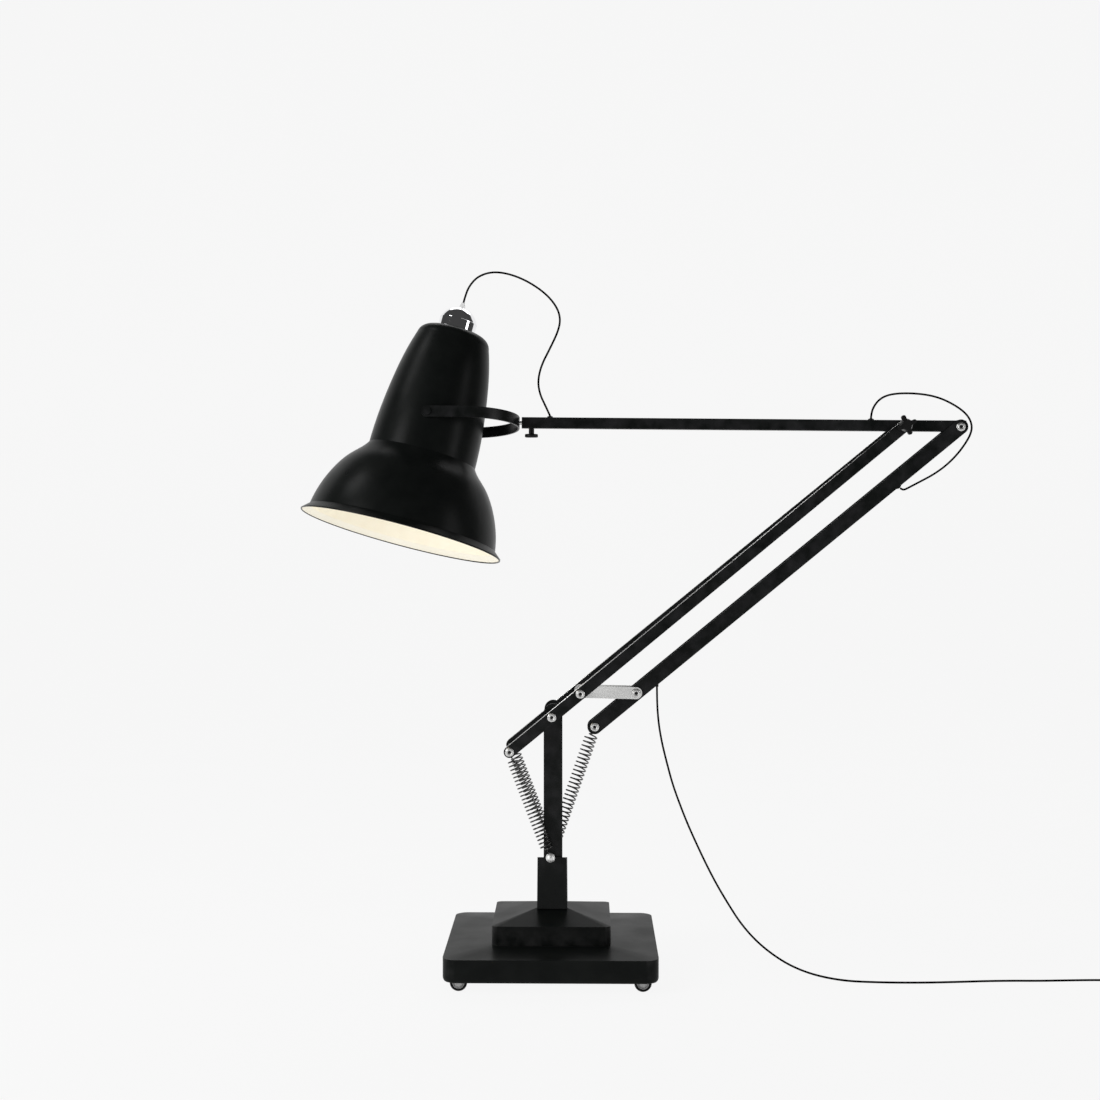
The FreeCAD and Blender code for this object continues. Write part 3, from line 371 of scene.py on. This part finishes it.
BLACK_LOW = (.0050, .0058, .0055)
BLACK_HIGH = (.0072, .0082, .0077)
MATERIALS = {
    "gloss_black": surface("gloss_black", BLACK_LOW, BLACK_HIGH, (.24, .32), scale=30, bump_scale=900,
                           bump_size=.00003, specular=.09, wear=(.02, .02, .021)),
    "satin_black": surface("satin_black", (.0052, .0060, .0056), (.0078, .0088, .0083), (.30, .40),
                           scale=24, bump_scale=1400, bump_size=.00004, specular=.045,
                           wear=(.03, .03, .03)),
    "zinc": surface("zinc", (.62, .62, .61), (.80, .80, .79), (.24, .38), metallic=1, scale=180,
                    bump_scale=700, bump_size=.00003, stretch=(1, 1, 6)),
    "plate": surface("plate", (.86, .86, .85), (.96, .96, .95), (.42, .52), metallic=.7, scale=60,
                     bump_scale=400, bump_size=.00002, stretch=(1, 1, 12)),
    "spring": surface("spring", (.05, .05, .05), (.11, .11, .108), (.10, .16), metallic=1, scale=260,
                      bump_scale=1500, bump_size=.00002),
    "steel": surface("steel", (.30, .30, .30), (.42, .42, .41), (.35, .50), metallic=1, scale=120,
                     bump_scale=500, bump_size=.00004),
    "chrome": surface("chrome", (.86, .86, .87), (.90, .90, .91), (.03, .06), metallic=1, scale=40,
                      bump_scale=200, bump_size=.00001),
    "black_plastic": surface("black_plastic", (.004, .004, .004), (.008, .008, .008), (.38, .50),
                             scale=90, bump_scale=2200, bump_size=.00006, specular=.2),
    "cord": surface("cord", (.0010, .0010, .0010), (.0018, .0018, .0018), (.85, .95), scale=300,
                    bump_scale=2500, bump_size=.00005, specular=.0),
    "tyre": surface("tyre", (.005, .005, .005), (.010, .010, .010), (.50, .62), scale=150,
                    bump_scale=1200, bump_size=.0001, specular=.12),
    "hub": surface("hub", (.30, .30, .30), (.42, .42, .42), (.30, .42), scale=120, bump_scale=900,
                   bump_size=.00004),
    "iron": surface("iron", (.03, .03, .03), (.06, .055, .05), (.6, .8), scale=80, bump_scale=300,
                    bump_size=.0004),
    "white": surface("white", (.72, .70, .66), (.80, .78, .74), (.30, .42), scale=50, bump_scale=900,
                     bump_size=.00004),
    "sleeve": glass_like("sleeve", (.9, .9, .9), .12, .85),
    "lamp": lit_lamp("lamp", 1.6),
}


def paint(nodes, links, low, high, rough, painted_glow=0.0):
    shader = nodes.new("ShaderNodeBsdfPrincipled")
    shader.inputs["Specular IOR Level"].default_value = .06
    links.new(ramp_between(nodes, links, noise_at(nodes, links, 30), low, high),
              shader.inputs["Base Color"])
    links.new(ramp_between(nodes, links, noise_at(nodes, links, 9), (rough,) * 3, (rough * 1.35,) * 3),
              shader.inputs["Roughness"])
    links.new(bump(nodes, links, noise_at(nodes, links, 900, 2), .4, .00003), shader.inputs["Normal"])
    # Emission on a surface that is no lamp: painted light.
    if painted_glow:
        shader.inputs["Emission Color"].default_value = (1, .92, .74, 1)
        shader.inputs["Emission Strength"].default_value = painted_glow
    return shader.outputs["BSDF"]


def shade_outside(nodes, links):
    return paint(nodes, links, BLACK_LOW, BLACK_HIGH, .27)


def shade_inside(nodes, links):
    # The inside paint also glows a little: painted light standing in for the bulb's light on the shade's
    # inner surface.
    return paint(nodes, links, (.80, .77, .67), (.84, .81, .72), .5, .19)


MATERIALS["shade"] = two_faced("shade", shade_outside, shade_inside)

FINISHES = {
    "gloss_black": ["post_channel", "column_shroud", "lower_bar_near", "lower_bar_far", "upper_arm_tube",
                    "rear_bar_channel", "fork_strap", "fork_screws"],
    "satin_black": ["base_lower_cover", "base_upper_cover"],
    "zinc": ["base_pivot_pin", "link_pivot_pin", "lower_arm_screws", "tail_studs", "elbow_bolt",
             "rear_pivot_pin", "arm_tail_pin", "rear_spring_pin", "fork_spigot"],
    "plate": ["anchor_pin", "link_plates"],
    "steel": ["base_plate", "castor_sockets", "column_bearing", "column_spigot", "shade_bosses"],
    "black_plastic": ["lower_arm_spacers", "star_knob", "thumb_screw", "arm_end_plug", "arm_glands",
                      "mains_gland", "loop_gland", "mains_plug"],
    "cord": ["arm_flex", "rear_bar_flex"],
    "iron": ["base_ballast"],
    "white": ["lamp_holder"],
    "sleeve": ["cap_sleeve"],
    "chrome": ["chrome_cap"],
    "lamp": ["bulb"],
}


def finish_with(obj, name):
    obj.data.materials.clear()
    obj.data.materials.append(MATERIALS[name])
    return obj


def cad_finishes():
    for finish, members in FINISHES.items():
        for node in members:
            finish_with(NODES[node], finish)
    for node in NODES:
        if node.startswith("castor_fork"):
            finish_with(NODES[node], "steel")


# ================= camera =================
def set_camera():
    data = bpy.data.cameras.new("camera")
    data.sensor_width = SENSOR
    data.lens = LENS_PX / IMAGE_PX * SENSOR
    camera = new_object("camera", data)
    camera.location = CAMERA_AT
    camera.rotation_euler = (math.radians(90 + PITCH), 0, math.radians(YAW))
    bpy.context.scene.camera = camera


# ================= cords =================
def cord_piece(name, points, a, b, start, end, far_end="object", lay="hanging", replaced=(),
               with_pieces=()):
    """A stretch of cord, swept as a round tube along its points; the CAD cord nodes it replaces are
    hidden.
    """
    piece = finish_with(sweep(name, points, CORD_D / 2), "cord")
    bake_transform(piece)
    if replaced:
        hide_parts(*replaced)


def head_cord():
    """From the cap's sleeve over to the upper arm, past the shade's tilt and the head's twist, in two
    pieces split at the crest.
    """
    points = nurbs_points(HEAD_ROUTE)
    crest = nearest(points, HEAD_ROUTE[HEAD_CREST])
    rise, fall = points[:crest + 1], points[crest:]
    cord_piece("head_cord_rise", rise, "shade", "fork", rise[0], rise[-1], replaced=["head_flex"])
    low = (fall[0].x, fall[0].y, HEAD_STILL_Z)
    cord_piece("head_cord_fall", fall, "fork", "upper_arm", fall[0], low, replaced=["head_flex"])


def elbow_cord():
    """From the upper arm's gland round the elbow to the rear bar's gland."""
    points = nurbs_points(LOOP_ROUTE)
    cord_piece("elbow_cord", points, "upper_arm", "rear_bar", *LOOP_BEND, replaced=["elbow_flex"])


def coil_route():
    """Control points of the put-away turns: two beside each other, in layers, wound out and in."""
    turn = 360 / COIL_STEP - 1
    radii = []
    for layer in range(COIL_LAYERS):
        pair = (COIL_OUTER, COIL_INNER)
        radii += [(r, layer) for r in (pair if layer % 2 == 0 else pair[::-1])]
    route = []
    angle = COIL_START
    for radius, layer in radii:
        for _ in range(int(turn)):
            a = math.radians(angle)
            route.append((COIL_CENTRE[0] + radius * math.cos(a), COIL_CENTRE[1] + radius * math.sin(a),
                          MAINS_ROUTE[-1][2] + layer * COIL_PITCH))
            angle += COIL_STEP
    return route


def mains_cord():
    """From the rear bar's gland down to the floor, along it, and into the put-away coil and plug."""
    points = nurbs_points(MAINS_ROUTE + coil_route() + TAIL_ROUTE)
    cuts = [nearest(points, MAINS_ROUTE[i]) for i in MAINS_CUTS]
    first = points[:cuts[0] + 1]
    second = points[cuts[0]:cuts[1] + 1]
    third = points[cuts[1]:cuts[2] + 1]
    rest = points[cuts[2]:]
    cord_piece("mains_cord_top", first, "rear_pivot", "link", first[0], first[-1])
    cord_piece("mains_cord_bend", second, "link", "lower_arm", second[0], second[-1])
    cord_piece("mains_cord_drop", third, "lower_arm", "column", third[0], third[-1],
               replaced=["mains_flex"])
    cord_piece("mains_cord_floor", rest, "column", "base", rest[0],
               (MAINS_STILL_X, rest[0].y, rest[0].z), far_end="plug", lay="coiled",
               replaced=["mains_coil", "plug_lead"], with_pieces=[NODES["mains_plug"]])


# ================= springs =================
def coil_points(start, axis, side, first, last, radius, pitch, per_turn=16):
    """Helix about a straight axis, closing in to the axis over its first and last half turn."""
    other = axis.cross(side)
    turns = (last - first) / pitch
    count = int(turns * per_turn)
    points = []
    for i in range(count + 1):
        share = i / count
        edge = min(share, 1 - share) * turns
        spread = radius * min(1.0, .25 + .75 * min(1.0, edge * 2))
        angle = 2 * math.pi * turns * share
        middle = start + axis * (first + (last - first) * share)
        points.append(middle + (side * math.cos(angle) + other * math.sin(angle)) * spread)
    return points


def hook_points(pin, axis, side, reach, sign, steps=14):
    """Open ring about a pin and the shank that runs from it to the coil."""
    ring = .0066
    points = []
    for i in range(steps + 1):
        angle = math.radians(150 - 300 * i / steps)
        points.append(pin + (axis * -sign * math.cos(angle) + side * math.sin(angle)) * -ring)
    points.append(pin + axis * sign * reach)
    return points


def spring_pieces(name, start, end, y, radius, pitch, stretches, node):
    """A spring as coil wire, cut into stretches that are each swept as a tube of their own.

    A stretch is (from share, to share, body a, body b, window start share, window end share).
    """
    start = Vector((start[0], y, start[1]))
    end = Vector((end[0], y, end[1]))
    axis = (end - start).normalized()
    length = (end - start).length
    side = Vector((-axis.z, 0, axis.x))
    wire = coil_points(start, axis, side, HOOK * .8, length - HOOK * .8, radius, pitch)
    low_hook = hook_points(start, axis, side, HOOK * .8, 1)
    high_hook = hook_points(end, axis, side, HOOK * .8, -1)
    whole = low_hook + wire + list(reversed(high_hook))
    shares = [(point - start).dot(axis) / length for point in whole]
    for index, (low, high, a, b, begin, finish) in enumerate(stretches):
        inside = [i for i, share in enumerate(shares) if low <= share <= high]
        first, last = inside[0], inside[-1]
        if index:
            first -= 1
        piece = finish_with(sweep(f"{name}_{index + 1}", whole[first:last + 1], WIRE_D / 2, 8), "spring")
        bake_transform(piece)
        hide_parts(*node)


def springs():
    base_pivot = JOINTS["lower_arm_tilt"]["pos_m"]
    foot = JOINTS["rear_spring_swing"]["pos_m"]
    anchor_low, anchor_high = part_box("anchor_pin")
    anchor = ((anchor_low[0] + anchor_high[0]) / 2, (anchor_low[2] + anchor_high[2]) / 2)
    stud_low, stud_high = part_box("tail_studs")
    tail = ((stud_low[0] + stud_high[0]) / 2, (stud_low[2] + stud_high[2]) / 2)
    for side, word in zip(SIDES, ("near", "far")):
        spring_pieces("front_coil_" + word, anchor, tail, side * FRONT_Y, FRONT_R, FRONT_PITCH, [
            (-1, .5, "column", "lower_arm", 0, 1.363),
            (.5, .9, "column", "lower_arm", .09, 1.207),
            (.9, 2, "column", "lower_arm", .636, 1),
        ], ["front_spring_" + word])
    spring_pieces("rear_coil", anchor, (foot[0], foot[2]), base_pivot[1], REAR_R, REAR_PITCH, [
        (-1, .5, "rear_spring_foot", "rear_spring_middle", .08, .5),
        (.5, 2, "rear_spring_middle", "rear_spring_top", .5, .92),
    ], ["rear_spring_foot", "rear_spring_middle", "rear_spring_top"])


# ================= screws and bar edges =================
def hex_socket(name, centre, outward, radius, body):
    """A rolled rim on a screw's head, and a flat black six-sided piece in its middle: painted shade
    standing in for the recessed socket.
    """
    rim = lathe("rim_" + name, [
        (radius * .44, -.0004), (radius * .48, .0004), (radius * .60, .0006), (radius * .70, .0003),
        (radius * .74, -.0006), (radius * .44, -.0004)], 40)
    # Black hexagon, slightly proud of the head: painted shade of the socket's recess.
    socket = lathe("socket_" + name, [(0, .0001), (radius * .40, .0001), (radius * .40, -.0004)], 6)
    turn = Vector(outward).to_track_quat("Z", "X").to_matrix().to_4x4()
    for piece, finish, slot in ((rim, "zinc", "zinc"), (socket, "black_plastic", "zinc")):
        piece.data.transform(turn)
        piece.data.transform(Matrix.Translation(centre))
        finish_with(piece, finish)
        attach(piece, body)


def screw_sockets():
    """Rims and painted-shade sockets on the heads at both ends of the pins that show."""
    base = Vector(JOINTS["lower_arm_tilt"]["pos_m"])
    elbow = Vector(JOINTS["upper_arm_tilt"]["pos_m"])
    link = Vector(JOINTS["link_turn"]["pos_m"])
    along = (elbow - base).normalized()
    tail = base - along * TAIL_LENGTH
    pins = [("tail", tail, "lower_arm_screws", "lower_arm"),
            ("base", base, "lower_arm_screws", "lower_arm"),
            ("link", link, "lower_arm_screws", "lower_arm"),
            ("elbow", Vector(JOINTS["rear_bar_turn"]["pos_m"]), "arm_tail_pin", "rear_bar"),
            ("pivot", Vector(JOINTS["rear_pivot_turn"]["pos_m"]), "rear_pivot_pin", "rear_pivot"),
            ("foot", Vector(JOINTS["rear_spring_swing"]["pos_m"]), "rear_spring_pin", "rear_bar")]
    for name, place, node, body in pins:
        low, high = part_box(node)
        for side, word, face in ((-1, "near", low.y), (1, "far", high.y)):
            centre = Vector((place.x, face + side * .0001, place.z))
            hex_socket(name + "_" + word, centre, (0, side, 0), HEAD_R, body)


def bar_edge_highlights():
    """Painted highlight: a thin strip of bright zinc along the outer top corner of the lower arm's bars,
    where their top edge catches the light.
    """
    base = Vector(JOINTS["lower_arm_tilt"]["pos_m"])
    elbow = Vector(JOINTS["upper_arm_tilt"]["pos_m"])
    along = (elbow - base).normalized()
    across = Vector((-along.z, 0, along.x))
    length = (elbow - base).length
    for side, word in zip(SIDES, ("near", "far")):
        stops = ((-TAIL_LENGTH, BAR_OUT), (BAR_BEND, BAR_OUT), (length, BAR_OUT_ELBOW))
        points = []
        for reach, out in stops:
            points.append(base + along * reach + across * BAR_HALF_H + Vector((0, side * out, 0)))
        # Bright zinc strip as a painted highlight along the bar's top corner.
        edge = finish_with(sweep("bar_edge_highlight_" + word, points, EDGE_R, 8), "zinc")
        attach(edge, "lower_arm")


# ================= castor wheels =================
def castor_wheels():
    """Dark tyres on pale hubs, in place of the plain wheels."""
    for node in [n for n in NODES if n.startswith("castor_wheel")]:
        low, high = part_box(node)
        centre = [(a + b) / 2 for a, b in zip(low, high)]
        radius = (high[2] - low[2]) / 2
        half = (high[1] - low[1]) / 2
        tyre = lathe("tyre_" + node[13:], [(radius * r, half * h) for r, h in TYRE_PROFILE])
        rim = [(radius * r, half * h) for r, h in HUB_PROFILE]
        ends = [(HUB_BORE, half * rim_h) for rim_h in (-HUB_WIDTH, HUB_WIDTH, -HUB_WIDTH)]
        hub = lathe("hub_" + node[13:], ends[:1] + rim + ends[1:])
        for piece, finish in ((tyre, "tyre"), (hub, "hub")):
            finish_with(piece, finish)
            piece.rotation_euler = (math.pi / 2, 0, 0)
            piece.location = centre
            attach(piece, node)
            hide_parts(node)


# ================= shade =================
def shade_faces():
    """Marks the CAD shade's faces that look in towards its axis, so they take the inside paint."""
    shade = finish_with(NODES["shade_shell"], "shade")
    pivot = Vector(JOINTS["shade_tilt"]["pos_m"])
    axis = shade_axis()
    mask = shade.data.attributes.new("inside", "FLOAT", "FACE")
    values = []
    for face in shade.data.polygons:
        out = face.center - pivot
        out -= axis * out.dot(axis)
        looks_in = face.normal.dot(out.normalized()) < 0
        values.append(1.0 if looks_in else 0.0)
    mask.data.foreach_set("value", values)


def shade_bead():
    """The lip's rolled edge, as a thin ring of black paint."""
    pivot = Vector(JOINTS["shade_tilt"]["pos_m"])
    axis = shade_axis()
    bead = bmesh.new()
    rings = []
    for k in range(BEAD_TURNS):
        turn = 2 * math.pi * k / BEAD_TURNS
        ring = []
        for j in range(BEAD_SIDES):
            roll = 2 * math.pi * j / BEAD_SIDES
            radius = LIP_R + BEAD_R * math.cos(roll)
            ring.append(bead.verts.new((radius * math.cos(turn), radius * math.sin(turn),
                                        BEAD_R * math.sin(roll))))
        rings.append(ring)
    for k, ring in enumerate(rings):
        after = rings[(k + 1) % BEAD_TURNS]
        for j in range(BEAD_SIDES):
            up = (j + 1) % BEAD_SIDES
            bead.faces.new((ring[j], after[j], after[up], ring[up]))
    data = bpy.data.meshes.new("shade_bead")
    bead.to_mesh(data)
    bead.free()
    smooth(data)
    data.transform(axis.to_track_quat("Z", "Y").to_matrix().to_4x4())
    data.transform(Matrix.Translation(pivot - axis * RIM_DROP))
    piece = finish_with(new_object("shade_bead", data), "gloss_black")
    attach(piece, "shade")


def shade_axis():
    """From the tilt pins towards the crown."""
    cap = NODES["chrome_cap"].data.vertices
    middle = sum((vertex.co for vertex in cap), Vector()) / len(cap)
    return (middle - Vector(JOINTS["shade_tilt"]["pos_m"])).normalized()


# ================= stage =================
def stage():
    """Pale floor that curves up into a backdrop."""
    profile = [(FLOOR_FRONT, 0), (CURVE_START_Y, 0)]
    for step in range(1, CURVE_STEPS + 1):
        angle = math.radians(90 * step / CURVE_STEPS)
        profile.append((CURVE_START_Y + CURVE_R * math.sin(angle), CURVE_R - CURVE_R * math.cos(angle)))
    profile.append((CURVE_START_Y + CURVE_R, BACKDROP_TOP))
    mesh = bmesh.new()
    rows = [[mesh.verts.new((x, y, z)) for x in (-FLOOR_HALF_X, FLOOR_HALF_X)] for y, z in profile]
    for row, after in zip(rows, rows[1:]):
        mesh.faces.new((row[0], row[1], after[1], after[0]))
    data = bpy.data.meshes.new("floor")
    mesh.to_mesh(data)
    mesh.free()
    smooth(data)
    floor = new_object("floor", data)
    material, nodes, links = node_material("floor")
    shader = nodes["Principled BSDF"]
    shader.inputs["Roughness"].default_value = 1
    shader.inputs["Specular IOR Level"].default_value = 0
    links.new(ramp_between(nodes, links, noise_at(nodes, links, 2), (.045, .045, .045), (.05, .05, .05)),
              shader.inputs["Base Color"])
    shader.inputs["Emission Color"].default_value = (1, 1, 1, 1)
    shader.inputs["Emission Strength"].default_value = FLOOR_GLOW
    data.materials.append(material)


def area_light(name, place, target, size, power):
    data = bpy.data.lights.new(name, "AREA")
    data.shape = "RECTANGLE"
    data.size, data.size_y = size
    data.energy = power
    light = new_object(name, data)
    light.location = place
    light.rotation_euler = (Vector(target) - Vector(place)).to_track_quat("-Z", "Y").to_euler()


def lights():
    world = bpy.data.worlds.new("world")
    world.use_nodes = True
    world.node_tree.nodes["Background"].inputs["Color"].default_value = (.9, .9, .9, 1)
    world.node_tree.nodes["Background"].inputs["Strength"].default_value = .06
    bpy.context.scene.world = world
    area_light("key", (-3.0, -2.2, 2.0), (-.2, 0, .9), (1.3, 2.2), 84)
    area_light("high", (-2.3, -.4, 3.4), (-.3, 0, 1.2), (.9, .9), 16)
    area_light("fill", (3.4, -1.4, 1.6), (0, 0, .8), (.9, 2.2), 22)
    area_light("top", (.2, 1.6, 3.4), (.1, 0, 0), (2.4, 1.0), 18)
    scene = bpy.context.scene
    scene.view_settings.view_transform = "Standard"
    scene.view_settings.look = "None"


set_camera()
head_cord()
elbow_cord()
mains_cord()
cad_finishes()
springs()
screw_sockets()
bar_edge_highlights()
castor_wheels()
shade_faces()
shade_bead()
stage()
lights()
